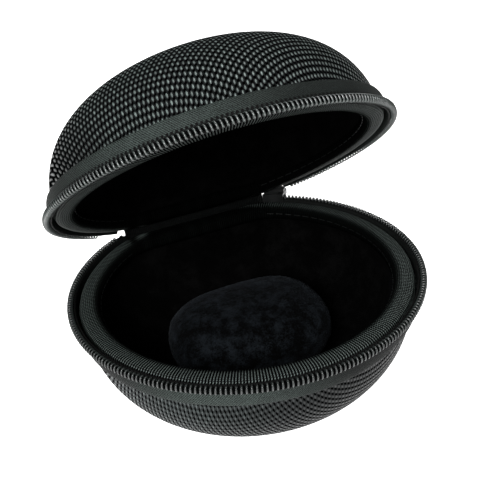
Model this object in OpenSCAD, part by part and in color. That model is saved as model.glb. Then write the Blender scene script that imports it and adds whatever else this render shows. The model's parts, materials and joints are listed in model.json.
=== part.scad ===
// Round travel case for one wristwatch: a moulded shell in two halves that
// fold on a cloth hinge at the back and close with a zip around the rim.
// Z = 0 is the surface that the case stands on, the Z axis is the axis of the
// round shell, and the hinge is at +Y. Lengths are in millimetres.

/* [Shell] */
// Radius of the moulded shell where it meets the rim
dome_r = 50.5; // [44:0.5:60]
// Height of the lower shell, from its flat foot to the parting plane
base_h = 38.5; // [32:0.5:48]
// How much of the lower shell's round bottom is flattened into its foot
foot_flat = 1.1; // [0.6:0.1:3]
// Depth of the upper shell, from the parting plane to its crown
lid_pole = 36; // [28:0.5:44]
// Depth below the parting plane at which the shell starts to curve in
shoulder_h = 2.2; // [1:0.1:4]
// How square the shell is in plan against depth, 2 is an ellipse
bulge_r = 2.5; // [2:0.05:3.2]
// How square the shell is in depth against plan, 2 is an ellipse
bulge_h = 2.3; // [2:0.05:3.2]
// How far the hinge axis lies inside the round of the shell
back_flat = 4.3; // [3.5:0.1:6]
// Thickness of the woven outer cover
cover_t = 0.6; // [0.4:0.1:1]
// Thickness of the moulded foam wall
foam_t = 3.6; // [2.5:0.1:5]
// Thickness of the velvet lining
lining_t = 0.8; // [0.4:0.1:1.2]

/* [Rim] */
// Depth of the groove behind the zip, from the parting plane
groove_h = 4.6; // [4.2:0.1:5]
// How far the rim flange stands out from the shell
flange_out = 1.1; // [0.4:0.1:1.6]
// Width of the upper half's rim band, of its flange and its zip tape
lid_band = 5.6; // [5.5:0.1:11]
// Width of the lower half's rim band, of its flange and its zip tape
base_band = 6.4; // [5.5:0.1:11]
// Thickness of the ribbed binding folded over the rim
binding_t = 0.7; // [0.4:0.1:1]
// Depth of the binding's crown below the parting plane
binding_top = 0.5; // [0.4:0.1:0.9]
// Depth to which both legs of the binding reach
binding_leg = 4.3; // [3:0.1:4.5]
// Length of one stitch
stitch_l = 2.2; // [1.2:0.1:2.6]
// Distance from one stitch to the next
stitch_pitch = 3.2; // [2.8:0.1:4.5]
// Diameter of the sewing thread
thread_d = 0.3; // [0.2:0.05:0.4]

/* [Zip] */
// Thickness of the zip tape
tape_t = 0.6; // [0.4:0.1:0.8]
// Distance from one coil tooth to the next
tooth_pitch = 1.3; // [1.25:0.05:2]
// Thickness of a coil tooth along the rim
tooth_t = 0.55; // [0.4:0.05:0.55]
// Radial width of a coil tooth
tooth_w = 2.1; // [1.8:0.1:2.4]
// Height of the coil below the parting plane
tooth_low = 2; // [1.9:0.1:2.4]
// How far each tooth reaches across the parting plane
tooth_bite = 0.5; // [0.35:0.05:0.6]
// Diameter of the filler cord inside the coil
filler_d = 0.8; // [0.5:0.05:0.9]
// Space between the cloth hinge and each end of the zip tape
zip_gap = 0.3; // [0.2:0.1:1.5]
// Length of an end stop along the rim
stop_l = 0.9; // [0.6:0.1:1.5]
// Length of the slider along the rim
slider_l = 7.6; // [6.6:0.1:9]
// Thickness of the slider's outer plate
slider_plate_t = 0.85; // [0.6:0.05:1.2]
// Half the height of the slider's outer plate
slider_half_h = 3; // [2.9:0.05:3.4]
// Length of the pull tab below its pivot
pull_l = 20; // [12:0.5:26]
// Width of the pull tab
pull_w = 4.4; // [3.5:0.1:5]
// Thickness of the pull tab
pull_t = 1.2; // [0.8:0.1:1.6]

/* [Hinge] */
// Angle by which the lid stands open
open_angle = 39; // [10:1:130]
// Width of the cloth hinge
hinge_w = 50; // [40:1:54]
// Thickness of the cloth hinge
hinge_t = 0.8; // [0.5:0.05:1]

/* [Watch pillow] */
// Length of the pillow
pillow_l = 56; // [46:1:58]
// Width of the pillow
pillow_w = 40; // [30:1:42]
// Height of the pillow
pillow_h = 25; // [18:0.5:28]
// Distance of the pillow from the axis, towards the hinge
pillow_y = 1; // [-3:0.5:3]
// Thickness of the pillow's velvet cover
pillow_cover_t = 0.8; // [0.5:0.1:1.2]

/* [Hidden] */

$fn = 96;
// Segments of one shell outline
outline_steps = 16;
// Length that cutting solids run past what they cut
far = 200;
// Glue line between two layers
glue = 0.05;
// Running clearance of the slider
run = 0.15;

// Depth of the lower shell's pole, if its foot were not flattened
base_pole = base_h + foot_flat;

// Radius of the flange, and of the tape glued around it
flange_r = dome_r + flange_out;
tape_in = flange_r + glue;
tape_r = tape_in + tape_t;
// Depth of the tape's edge below the parting plane
tape_top = 0.1;
// Height of the slope that leads from the flange back to the shell
flange_slope = 1.2;
// How far that slope runs into the shell
flange_root = 0.4;
// How far the binding stays inside the round of the shell
binding_inset = 0.3;
// Radius of the foam's neck, of the binding around it and of the wall inside
binding_r = dome_r - binding_inset;
neck_r = binding_r - binding_t - glue;
wall_r = dome_r - cover_t - foam_t;
lining_r = wall_r - lining_t;
// Space for the lining's curve inside the binding's inner leg
binding_space = 0.2;
binding_leg_r = lining_r - binding_space;
binding_in = binding_leg_r - binding_t;
// Depth of the foam's top edge, under the binding
foam_top = binding_top + binding_t + 2 * glue;
// Height of the bevel that crowns the binding
binding_bevel = 0.5;

// Back: hinge axis, cloth hinge around it, plane of the shell behind it.
// The leaves lie off the axis by the share hinge_inner of their thickness,
// and the fold is a little thicker than the cloth.
hinge_y = dome_r - back_flat;
hinge_inner = 7 / 16;
hinge_in = hinge_y - hinge_t * hinge_inner;
back_y = hinge_in - glue - flange_out;
hinge_gap = 1.1;
hinge_below_flange = 0.6;
fold_r = hinge_t * (1 - hinge_inner);
seam_edge = 1.4;

// Coil: inner and outer radius, cord in its middle, teeth in a full circle
coil_in = tape_r + glue;
coil_r = coil_in + tooth_w;
cord_r = coil_in + tooth_w / 2;
cord_below_middle = 0.3;
cord_h = (tooth_low - tooth_bite) / 2 + cord_below_middle;
cord_clear = 0.06;
tooth_corner = 0.55;
teeth_round = floor(2 * PI * cord_r / tooth_pitch);
tooth_step = 360 / teeth_round;

// Angle that a length takes up along the coil
function turn(length) = length / cord_r * 180 / PI;

// Bearings along the rim, clockwise from the hinge side: ends of the lower
// half's zip, the parked and the shut slider, ends of the lid's zip
base_from = max(
    asin((hinge_w / 2 + zip_gap) / tape_in),
    acos((hinge_in - zip_gap) / tape_r));
base_to = 360 - base_from;
slider_home = base_from + turn(slider_l / 2);
slider_end = 360 - slider_home;
// Space between the parked slider and each end of the lid's zip
home_space = 1.2;
lid_from = slider_home + turn(slider_l / 2 + home_space);
lid_to = 360 - lid_from;
// Depth of an end stop's top, and its space to the first tooth
stop_top = tooth_bite + run;
stop_space = 0.45;
stop_turn = turn(stop_l + stop_space);

// Slider: radii of its two plates, lips that hold the coil, neck between halves
plate_in = coil_r + run;
plate_r = plate_in + slider_plate_t;
inner_plate_r = tape_in - run;
inner_plate_t = 0.6;
inner_plate_low = 2.6;
inner_plate_high = 1.8;
neck_l = 2;
lip_run = 0.2;
lip_in = tape_r + lip_run;
lip_low = tooth_low + lip_run;
neck_low = tooth_bite + lip_run;

// Bridge on the slider and the pull that swings on its bar
bar_r = 0.55;
bar_clear = 0.15;
barrel_wall = 0.65;
barrel_space = 0.55;
barrel_r = bar_r + bar_clear + barrel_wall;
pivot_r = plate_r + barrel_r + barrel_space;
post_w = 1;
post_half_h = 0.9;
post_clear = 0.7;
post_at = pull_w / 2 + post_clear;
post_out = 0.15;
pull_hole_d = 2.2;
pull_hole_edge = 2.4;

// Thickness of the lower shell's floor and place of the pillow on it
floor_t = cover_t + foam_t + lining_t + 2 * glue;
pillow_gap = 0.1;
pillow_z = floor_t + pillow_gap;
pillow_end = pillow_w / 2;
pillow_mid = pillow_l / 2 - pillow_end;
pillow_soft = 2.6;
// How far the pillow's round would still run past its foot and crown
pillow_edge = 0.19;
pillow_steps = 14;

weave = [0.10, 0.11, 0.11];
tape_black = [0.16, 0.18, 0.18];
velvet = [0.02, 0.02, 0.02];
pillow_grey = [0.12, 0.13, 0.15];
coil_grey = [0.32, 0.36, 0.35];
foam_grey = [0.25, 0.25, 0.25];
thread_black = [0.06, 0.06, 0.06];
gunmetal = [0.2, 0.2, 0.21];

// ---- Shapes shared by both halves, drawn downwards from the parting plane ----

// Outline of the shell, moved inwards by off, from depth top down to the bottom
function outline(off, top, pole, bottom) =
    let (
        r = dome_r - off,
        depth = pole - off - shoulder_h,
        start = max(0, (top - shoulder_h) / depth),
        reach = min(1, (bottom - off - shoulder_h) / depth),
        first = asin(pow(start, bulge_h / 2)),
        last = asin(pow(reach, bulge_h / 2)))
    [for (i = [0:outline_steps])
        let (t = first + (last - first) * i / outline_steps)
        [r * pow(cos(t), 2 / bulge_r), -shoulder_h - depth * pow(sin(t), 2 / bulge_h)]];

// Everything in front of the plane Y = y
module in_front_of(y) {
    intersection() {
        children();
        translate([-far, y - 2 * far, -far]) cube([2 * far, 2 * far, 2 * far]);
    }
}

// Round plan with a flat back, from depth low up to depth high
module plan(r, low, high) {
    in_front_of(back_y + r - dome_r)
        translate([0, 0, -low]) cylinder(h = low - high, r = r);
}

// Solid bowl, moved inwards by off and open upwards from depth top
module bowl(off, top, pole, bottom) {
    path = outline(off, top, pole, bottom);
    end = path[outline_steps];
    foot = end[0] > 0.01 ? [[0, end[1]]] : [];
    mouth = top < shoulder_h ? [[0, -top], [dome_r - off, -top]] : [[0, -top]];
    in_front_of(back_y - off) rotate_extrude() polygon(concat(mouth, path, foot));
}

// Solid rim flange, moved inwards by off, from depth top to its sloped edge
module flange(off, top, band) {
    r = flange_r - off;
    edge = band - off / 2;
    in_front_of(back_y + flange_out - off)
        rotate_extrude()
            polygon([[0, -top], [r, -top], [r, -edge],
                     [dome_r - off - flange_root, -edge - flange_slope], [0, -edge - flange_slope]]);
}

// Ring segment of a profile, between two bearings
module arc(from, to) {
    rotate([0, 0, 90 - to]) rotate_extrude(angle = to - from) children();
}

// Places something on the rim at a bearing, with +X outwards
module at_bearing(bearing) {
    rotate([0, 0, 90 - bearing]) children();
}

module cover(pole, bottom, band) {
    difference() {
        union() {
            flange(0, groove_h, band);
            bowl(0, groove_h, pole, bottom);
        }
        flange(cover_t, groove_h - 1, band);
        bowl(cover_t, groove_h - 1, pole, bottom);
    }
}

module foam_shell(pole, bottom, band) {
    difference() {
        union() {
            flange(cover_t + glue, groove_h, band);
            bowl(cover_t + glue, groove_h, pole, bottom);
            plan(neck_r, groove_h + 1, foam_top);
        }
        bowl(cover_t + foam_t, 0, pole, bottom);
    }
}

module lining(pole, bottom) {
    difference() {
        bowl(cover_t + foam_t + glue, foam_top, pole, bottom);
        bowl(cover_t + foam_t + lining_t, 0, pole, bottom);
    }
}

module rim_binding() {
    difference() {
        union() {
            plan(binding_r, binding_leg, binding_top + binding_bevel);
            plan(binding_r - binding_bevel, binding_top + 2 * binding_bevel, binding_top);
        }
        plan(binding_in, far, -1);
        difference() {
            plan(neck_r + glue, far, binding_top + binding_t);
            plan(binding_leg_r, far, binding_top + binding_t);
        }
    }
}

module binding_stitching() {
    r = binding_in - glue - thread_d / 2;
    step = stitch_pitch / r * 180 / PI;
    for (bearing = [slider_home:step:slider_end])
        at_bearing(bearing)
            translate([r, 0, -(binding_leg + binding_top) / 2])
                rotate([90, 0, 0])
                    cylinder(h = stitch_l, d = thread_d, center = true, $fn = 16);
}

module zip_tape(from, to, band) {
    arc(from, to)
        translate([tape_in, -band]) square([tape_t, band - tape_top]);
}

// One loop of the coil, seen along the rim as a bevelled block around the cord
module tooth() {
    c = tooth_corner;
    difference() {
        translate([coil_in, tooth_t / 2, -tooth_low])
            rotate([90, 0, 0])
                linear_extrude(height = tooth_t)
                    polygon([
                        [c, 0], [tooth_w - c, 0], [tooth_w, c],
                        [tooth_w, tooth_low + tooth_bite - c], [tooth_w - c, tooth_low + tooth_bite],
                        [c, tooth_low + tooth_bite], [0, tooth_low + tooth_bite - c], [0, c]]);
        translate([cord_r, 0, -cord_h])
            rotate([90, 0, 0])
                cylinder(h = 2 * tooth_t, r = filler_d / 2 + cord_clear, center = true, $fn = 24);
    }
}

// Teeth between two bearings; shift moves them by a part of the pitch
module zip_coil(from, to, shift) {
    first = ceil((from + stop_turn) / tooth_step);
    last = floor((to - stop_turn) / tooth_step) - 1;
    for (i = [first:last]) at_bearing((i + shift) * tooth_step) tooth();
}

module coil_cord(from, to) {
    arc(from + turn(stop_l + glue), to - turn(stop_l + glue))
        translate([cord_r, -cord_h]) circle(d = filler_d, $fn = 24);
}

module end_stops(from, to) {
    for (start = [from, to - turn(stop_l)])
        arc(start, start + turn(stop_l))
            translate([coil_in, -tooth_low]) square([tooth_w, tooth_low - stop_top]);
}

// Leaf of the cloth hinge, glued over a rim band
module hinge_leaf(band) {
    translate([-hinge_w / 2, hinge_in, -band - hinge_below_flange])
        cube([hinge_w, hinge_t, band + hinge_below_flange - hinge_gap]);
}

// Row of stitches along the edge of that leaf
module hinge_seam(band) {
    row = hinge_w - 2 * seam_edge;
    count = floor(row / stitch_pitch);
    depth = band + hinge_below_flange - seam_edge;
    out = hinge_in + hinge_t + glue + thread_d / 2;
    for (i = [0:count - 1])
        translate([(i - (count - 1) / 2) * stitch_pitch, out, -depth])
            rotate([0, 90, 0])
                cylinder(h = stitch_l, d = thread_d, center = true, $fn = 16);
}

// ---- Places ----

module on_base() {
    translate([0, 0, base_h]) children();
}

module on_lid() {
    translate([0, hinge_y, base_h])
        rotate([-open_angle, 0, 0])
            translate([0, -hinge_y, 0])
                mirror([0, 0, 1]) children();
}

module on_slider() {
    on_base() at_bearing(slider_home) children();
}

// ---- Lower half ----

module base_cover() {
    color(weave) on_base() cover(base_pole, base_h, base_band);
}

module base_foam_shell() {
    color(foam_grey) on_base() foam_shell(base_pole, base_h, base_band);
}

module base_lining() {
    color(velvet) on_base() lining(base_pole, base_h);
}

module base_rim_binding() {
    color(tape_black) on_base() rim_binding();
}

module base_binding_stitching() {
    color(thread_black) on_base() binding_stitching();
}

module base_zip_tape() {
    color(tape_black) on_base() zip_tape(base_from, base_to, base_band);
}

module base_zip_coil() {
    color(coil_grey) on_base() zip_coil(base_from, base_to, 0);
}

module base_coil_cord() {
    color(thread_black) on_base() coil_cord(base_from, base_to);
}

module base_end_stops() {
    color(gunmetal) on_base() end_stops(base_from, base_to);
}

// Cloth hinge: a leaf glued on the lower shell and the fold on the hinge axis
module hinge_panel() {
    color(weave) on_base() {
        hinge_leaf(base_band);
        translate([-hinge_w / 2, hinge_in, -hinge_gap])
            cube([hinge_w, hinge_t / 2, hinge_gap - fold_r / 2]);
        translate([0, hinge_y, 0])
            rotate([0, 90, 0])
                cylinder(h = hinge_w, r = fold_r, center = true, $fn = 24);
    }
}

module hinge_panel_stitching() {
    color(thread_black) on_base() hinge_seam(base_band);
}

// Outline of the pillow from its foot to its crown, moved inwards by off
function pillow_path(off) = [
    for (i = [0:pillow_steps])
        let (
            z = off + (pillow_h - 2 * off) * (1 - cos(180 * i / pillow_steps)) / 2,
            u = abs(2 * z - pillow_h) / (pillow_h + 2 * pillow_edge))
        [(pillow_end - off) * pow(1 - pow(u, pillow_soft), 1 / pillow_soft), z]];

module pillow_form(off) {
    path = pillow_path(off);
    profile = concat([[0, off]], path, [[0, pillow_h - off]]);
    translate([0, pillow_y, pillow_z]) {
        for (side = [0, 180])
            rotate([0, 0, side])
                translate([pillow_mid, 0, 0])
                    rotate([0, 0, -90]) rotate_extrude(angle = 180) polygon(profile);
        for (side = [0, 180])
            rotate([0, 0, side])
                translate([-pillow_mid, 0, 0])
                    rotate([90, 0, 90]) linear_extrude(height = 2 * pillow_mid) polygon(profile);
    }
}

module pillow_core() {
    color(foam_grey) pillow_form(pillow_cover_t + glue);
}

module pillow_cover() {
    color(pillow_grey)
        difference() {
            pillow_form(0);
            pillow_form(pillow_cover_t);
        }
}

// ---- Upper half ----

module lid_cover() {
    color(weave) on_lid() cover(lid_pole, lid_pole, lid_band);
}

module lid_foam_shell() {
    color(foam_grey) on_lid() foam_shell(lid_pole, lid_pole, lid_band);
}

module lid_lining() {
    color(velvet) on_lid() lining(lid_pole, lid_pole);
}

module lid_rim_binding() {
    color(tape_black) on_lid() rim_binding();
}

module lid_binding_stitching() {
    color(thread_black) on_lid() binding_stitching();
}

module lid_zip_tape() {
    color(tape_black) on_lid() zip_tape(lid_from, lid_to, lid_band);
}

module lid_zip_coil() {
    color(coil_grey) on_lid() zip_coil(lid_from, lid_to, 0.5);
}

module lid_coil_cord() {
    color(thread_black) on_lid() coil_cord(lid_from, lid_to);
}

module lid_end_stops() {
    color(gunmetal) on_lid() end_stops(lid_from, lid_to);
}

module lid_hinge_flap() {
    color(weave) on_lid() hinge_leaf(lid_band);
}

module lid_hinge_stitching() {
    color(thread_black) on_lid() hinge_seam(lid_band);
}

// ---- Zip slider ----

module slider_body() {
    from = slider_home - turn(slider_l / 2);
    to = slider_home + turn(slider_l / 2);
    color(gunmetal) on_base() {
        arc(from, to) {
            translate([plate_in, -slider_half_h]) square([slider_plate_t, 2 * slider_half_h]);
            for (low = [-slider_half_h, lip_low])
                translate([lip_in, low])
                    square([plate_in + glue - lip_in, slider_half_h - lip_low]);
            translate([inner_plate_r - inner_plate_t, -inner_plate_low])
                square([inner_plate_t, inner_plate_low + inner_plate_high]);
        }
        arc(to - turn(neck_l), to)
            translate([inner_plate_r - inner_plate_t / 2, neck_low])
                square([plate_in - inner_plate_r + inner_plate_t, inner_plate_high - neck_low]);
    }
}

module slider_bridge() {
    color(gunmetal) on_slider() {
        for (side = [-1, 1])
            translate([plate_r + glue, side * (post_at + post_w / 2) - post_w / 2, -post_half_h])
                cube([pivot_r + bar_r + post_out - plate_r - glue, post_w, 2 * post_half_h]);
        translate([pivot_r, 0, 0])
            rotate([90, 0, 0])
                cylinder(h = 2 * post_at + post_w, r = bar_r, center = true, $fn = 32);
    }
}

module pull_tab() {
    tip = pull_w / 2;
    color(gunmetal) on_slider()
        translate([pivot_r, 0, 0])
            difference() {
                union() {
                    rotate([90, 0, 0])
                        cylinder(h = pull_w, r = barrel_r, center = true, $fn = 32);
                    translate([-pull_t / 2, -pull_w / 2, tip - pull_l])
                        cube([pull_t, pull_w, pull_l - tip]);
                    translate([0, 0, tip - pull_l])
                        rotate([0, 90, 0]) cylinder(h = pull_t, r = tip, center = true, $fn = 32);
                }
                rotate([90, 0, 0])
                    cylinder(h = 2 * pull_w, r = bar_r + bar_clear, center = true, $fn = 32);
                translate([0, 0, pull_hole_edge - pull_l])
                    rotate([0, 90, 0])
                        cylinder(h = 2 * pull_t, d = pull_hole_d, center = true, $fn = 32);
            }
}

base_cover();
base_foam_shell();
base_lining();
base_rim_binding();
base_binding_stitching();
base_zip_tape();
base_zip_coil();
base_coil_cord();
base_end_stops();
hinge_panel();
hinge_panel_stitching();
pillow_core();
pillow_cover();
lid_cover();
lid_foam_shell();
lid_lining();
lid_rim_binding();
lid_binding_stitching();
lid_zip_tape();
lid_zip_coil();
lid_coil_cord();
lid_end_stops();
lid_hinge_flap();
lid_hinge_stitching();
slider_body();
slider_bridge();
pull_tab();
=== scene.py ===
"""Looks of a round zip-up travel case for a wristwatch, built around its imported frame."""
import json
import logging
import math
from collections.abc import Callable
from dataclasses import dataclass
from enum import Enum
from functools import partialmethod

import bpy
import numpy as np
from mathutils import Matrix, Vector


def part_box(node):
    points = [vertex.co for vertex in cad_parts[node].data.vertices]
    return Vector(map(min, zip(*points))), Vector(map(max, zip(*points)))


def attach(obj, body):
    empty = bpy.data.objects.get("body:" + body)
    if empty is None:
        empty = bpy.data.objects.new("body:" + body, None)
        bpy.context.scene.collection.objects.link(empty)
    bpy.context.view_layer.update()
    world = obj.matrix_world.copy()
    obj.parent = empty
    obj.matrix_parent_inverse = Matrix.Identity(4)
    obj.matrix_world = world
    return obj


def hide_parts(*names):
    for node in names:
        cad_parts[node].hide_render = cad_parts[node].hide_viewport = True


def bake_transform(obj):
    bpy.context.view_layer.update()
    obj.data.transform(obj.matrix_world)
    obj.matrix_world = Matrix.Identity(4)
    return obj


logging.basicConfig(level=logging.INFO, format="%(message)s")
log = logging.getLogger("watch_case")

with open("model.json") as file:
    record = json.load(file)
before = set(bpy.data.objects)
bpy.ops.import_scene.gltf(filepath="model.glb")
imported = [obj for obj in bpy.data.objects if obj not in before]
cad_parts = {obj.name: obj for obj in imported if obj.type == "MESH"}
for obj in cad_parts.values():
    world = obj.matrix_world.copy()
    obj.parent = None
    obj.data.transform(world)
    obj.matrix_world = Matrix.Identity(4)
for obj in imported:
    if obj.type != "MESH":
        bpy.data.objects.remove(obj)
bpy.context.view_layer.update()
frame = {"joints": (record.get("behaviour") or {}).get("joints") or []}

MM = 0.001
# Gap between glued layers, and distance within which vertices merge, in millimetres
GLUE = 0.05
TIGHT = 0.01

Piece = bpy.types.Object
Array = np.ndarray
Pair = tuple[float, float]
Profile = list[Pair]


def mm(value: float) -> float:
    """Millimetres as metres."""
    return value * MM


def linear(hex_colour: str) -> tuple[float, float, float, float]:
    """Turns an sRGB colour such as "#3a4240" into linear red, green, blue and alpha."""
    channels = [int(hex_colour[i:i + 2], 16) / 255 for i in (1, 3, 5)]
    red, green, blue = [
        c / 12.92 if c <= 0.04045 else ((c + 0.055) / 1.055) ** 2.4 for c in channels
    ]
    return red, green, blue, 1.0


# ---- Sizes taken from the frame ----

def joint(name: str) -> dict:
    """The frame's joint of that name."""
    return next(j for j in frame["joints"] if j["name"] == name)


HINGE = Vector(joint("lid_hinge")["pos_m"])
OPEN_ANGLE = -joint("lid_hinge")["range_deg"][0]
FLANGE_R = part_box("base_cover")[1].x / MM

# Teeth in a full turn of the zip, and radius of its cord and of its tape's face
TEETH = 257
CORD_R = 53.35
TAPE_R = 52.25


class Side(Enum):
    """The two halves of the case, by the CAD body that each rides on."""

    BASE = "base"
    LID = "lid"


@dataclass(frozen=True)
class Section:
    """Cross-section of a half at its rim, in millimetres from the axis and the parting plane."""

    dome_r: float = FLANGE_R - 1.1
    hinge_y: float = HINGE.y / MM
    base_pole: float = 39.6
    base_floor: float = 38.5
    lid_pole: float = 36.0
    shoulder: float = 2.2
    bulge_r: float = 2.5
    bulge_h: float = 2.3
    lid_band: float = 5.6
    base_band: float = 6.4
    groove: float = 4.6
    back_round: float = 2.6

    @property
    def back(self) -> float:
        """Distance from the axis to the flat back, where the round would reach dome_r."""
        return self.hinge_y - 1.5

    def pole(self, side: Side) -> float:
        """Depth of a half's pole, before its foot is flattened."""
        return self.base_pole if side is Side.BASE else self.lid_pole

    def band(self, side: Side) -> float:
        """Width of a half's rim band."""
        return self.base_band if side is Side.BASE else self.lid_band

    def floor(self, side: Side) -> float:
        """Depth at which a half's bottom is cut flat."""
        return self.base_floor if side is Side.BASE else self.lid_pole

    def outline(self, side: Side, off: float, top: float, steps: int) -> Profile:
        """Outline of a half's shell, from depth top to the middle of its bottom.

        Args:
            side: which half.
            off: how far the outline lies inside the cover's outer face.
            top: depth at which it starts.
            steps: number of segments.

        Returns:
            Pairs of radius and depth.
        """
        radius = self.dome_r - off
        depth = self.pole(side) - off - self.shoulder
        start = max(0.0, (top - self.shoulder) / depth)
        first = math.asin(start ** (self.bulge_h / 2))
        points = []
        for i in range(steps + 1):
            t = first + (math.pi / 2 - first) * i / steps
            rho = radius * max(math.cos(t), 0.0) ** (2 / self.bulge_r)
            h = self.shoulder + depth * math.sin(t) ** (2 / self.bulge_h)
            points.append((rho, min(h, self.floor(side) - off)))
        return points


SECTION = Section()


def soft_min(value: Array, limit: Array, width: float) -> Array:
    """Lower of value and limit, with a round corner of about that width."""
    gap = np.clip(0.5 + 0.5 * (limit - value) / width, 0, 1)
    return limit * (1 - gap) + value * gap - width * gap * (1 - gap)


# ---- Mesh building ----

def vertices_of(piece: Piece) -> Array:
    """Vertex places of a piece, one row each."""
    co = np.empty(len(piece.data.vertices) * 3)
    piece.data.vertices.foreach_get("co", co)
    return co.reshape(-1, 3)


def set_vertices(piece: Piece, co: Array) -> None:
    """Writes vertex places back to a piece."""
    piece.data.vertices.foreach_set("co", co.astype(np.float32).ravel())
    piece.data.update()


def pick(piece: Piece) -> None:
    """Selects one piece alone and makes it the active one."""
    bpy.ops.object.select_all(action="DESELECT")
    piece.select_set(True)
    bpy.context.view_layer.objects.active = piece


def start_edit(piece: Piece) -> None:
    """Opens one piece in edit mode with all of it selected."""
    pick(piece)
    bpy.ops.object.mode_set(mode="EDIT")
    bpy.ops.mesh.select_all(action="SELECT")


def end_edit() -> None:
    """Leaves edit mode."""
    bpy.ops.object.mode_set(mode="OBJECT")


def smooth(piece: Piece) -> None:
    """Shades all faces of a piece smooth."""
    for polygon in piece.data.polygons:
        polygon.use_smooth = True


def new_piece(name: str, add: Callable, **settings) -> Piece:
    """Adds a primitive and names it, with everything else deselected first."""
    bpy.ops.object.select_all(action="DESELECT")
    add(**settings)
    piece = bpy.context.active_object
    piece.name = piece.data.name = name
    return piece


def add_modifier(piece: Piece, kind: str, **settings) -> None:
    """Adds a modifier with its settings and applies it."""
    pick(piece)
    modifier = piece.modifiers.new(kind.lower(), kind)
    for key, value in settings.items():
        setattr(modifier, key, value)
    bpy.ops.object.modifier_apply(modifier=modifier.name)


def turn_rings(name: str, profile: Profile, segments: int) -> Piece:
    """Draws a circle and pulls it along a closed profile, ring by ring.

    Args:
        name: name of the piece.
        profile: pairs of radius and depth below the parting plane, in millimetres.
        segments: number of points around.

    Returns:
        The piece, in the half's own frame, in millimetres.
    """
    least_r = 1e-4
    radius, depth = profile[0]
    piece = new_piece(name, bpy.ops.mesh.primitive_circle_add, vertices=segments,
                      radius=radius, location=(0, 0, -depth))
    bpy.ops.object.transform_apply(location=True, rotation=True, scale=True)
    start_edit(piece)
    for next_radius, next_depth in profile[1:] + profile[:1]:
        bpy.ops.mesh.extrude_region_move(
            TRANSFORM_OT_translate={"value": (0, 0, depth - next_depth)})
        scale = max(next_radius, least_r) / max(radius, least_r)
        bpy.ops.transform.resize(value=(scale, scale, 1), center_override=(0, 0, -next_depth))
        radius, depth = max(next_radius, least_r), next_depth
    bpy.ops.mesh.select_all(action="SELECT")
    bpy.ops.mesh.remove_doubles(threshold=TIGHT)
    bpy.ops.mesh.normals_make_consistent(inside=False)
    end_edit()
    return piece


def grid_piece(name: str, across: int, along: int) -> tuple[Piece, Array, Array]:
    """Adds a flat grid of that many faces, with the column and row of each vertex."""
    piece = new_piece(name, bpy.ops.mesh.primitive_grid_add, x_subdivisions=across,
                      y_subdivisions=along, size=2.0)
    co = vertices_of(piece)
    column = np.rint((co[:, 0] + 1) / 2 * across).astype(int)
    row = np.rint((co[:, 1] + 1) / 2 * along).astype(int)
    return piece, column, row


def close_tube(piece: Piece, merge: float = 0.004) -> None:
    """Joins a rolled grid along its seam, closes its ends and turns its faces outwards."""
    start_edit(piece)
    bpy.ops.mesh.remove_doubles(threshold=merge)
    bpy.ops.mesh.fill_holes(sides=0)
    bpy.ops.mesh.select_all(action="SELECT")
    bpy.ops.mesh.normals_make_consistent(inside=False)
    end_edit()


def on_rim(radius: Array, bearing: Array, depth: Array) -> Array:
    """Places in a half's frame from radius, bearing from the hinge in degrees, and depth."""
    angle = np.radians(bearing)
    return np.stack([radius * np.sin(angle), radius * np.cos(angle), -depth], 1)


def nearest(rho: Array, depth: Array, points: Array) -> Array:
    """Number of the profile point nearest to each place."""
    gap = (rho[:, None] - points[None, :, 0]) ** 2 + (depth[:, None] - points[None, :, 1]) ** 2
    return np.argmin(gap, axis=1)


def flatten_back(piece: Piece, profile: Profile, limits: list[float]) -> None:
    """Presses the round plan flat at the back, with round corners.

    Args:
        piece: a turned piece, still in its half's frame.
        profile: the profile that it was turned from.
        limits: how far back each point of the profile may reach.
    """
    co = vertices_of(piece)
    rho = np.hypot(co[:, 0], co[:, 1])
    limit = np.array(limits)[nearest(rho, -co[:, 2], np.array(profile))]
    flat = soft_min(co[:, 1], limit, SECTION.back_round)
    co[:, 1] = np.where(co[:, 1] > 0, np.minimum(co[:, 1], flat), co[:, 1])
    set_vertices(piece, co)


def place(piece: Piece, side: Side) -> None:
    """Moves a piece from its half's frame, in millimetres, to its place in the case."""
    to_metres = Matrix.Scale(MM, 4)
    up = Matrix.Translation((0, 0, HINGE.z))
    if side is Side.BASE:
        piece.data.transform(up @ to_metres)
        return
    mirror = Matrix.Scale(-1, 4, (0, 0, 1))
    fold = Matrix.Rotation(-math.radians(OPEN_ANGLE), 4, "X")
    hinge = Matrix.Translation(HINGE)
    back = Matrix.Translation((0, -HINGE.y, 0))
    piece.data.transform(hinge @ fold @ back @ mirror @ to_metres)
    piece.data.flip_normals()


def write_uv(piece: Piece, uv: Array) -> None:
    """Writes one place on the pattern, in millimetres, for each corner of the mesh."""
    layers = piece.data.uv_layers
    layer = layers.get("UVMap") or layers.new(name="UVMap")
    layer.data.foreach_set("uv", uv.astype(np.float32).ravel())


def set_uv(piece: Piece, uv: Array) -> None:
    """Gives each vertex its own place on the pattern, in millimetres."""
    index = np.empty(len(piece.data.loops), dtype=np.int32)
    piece.data.loops.foreach_get("vertex_index", index)
    write_uv(piece, uv[index])


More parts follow.
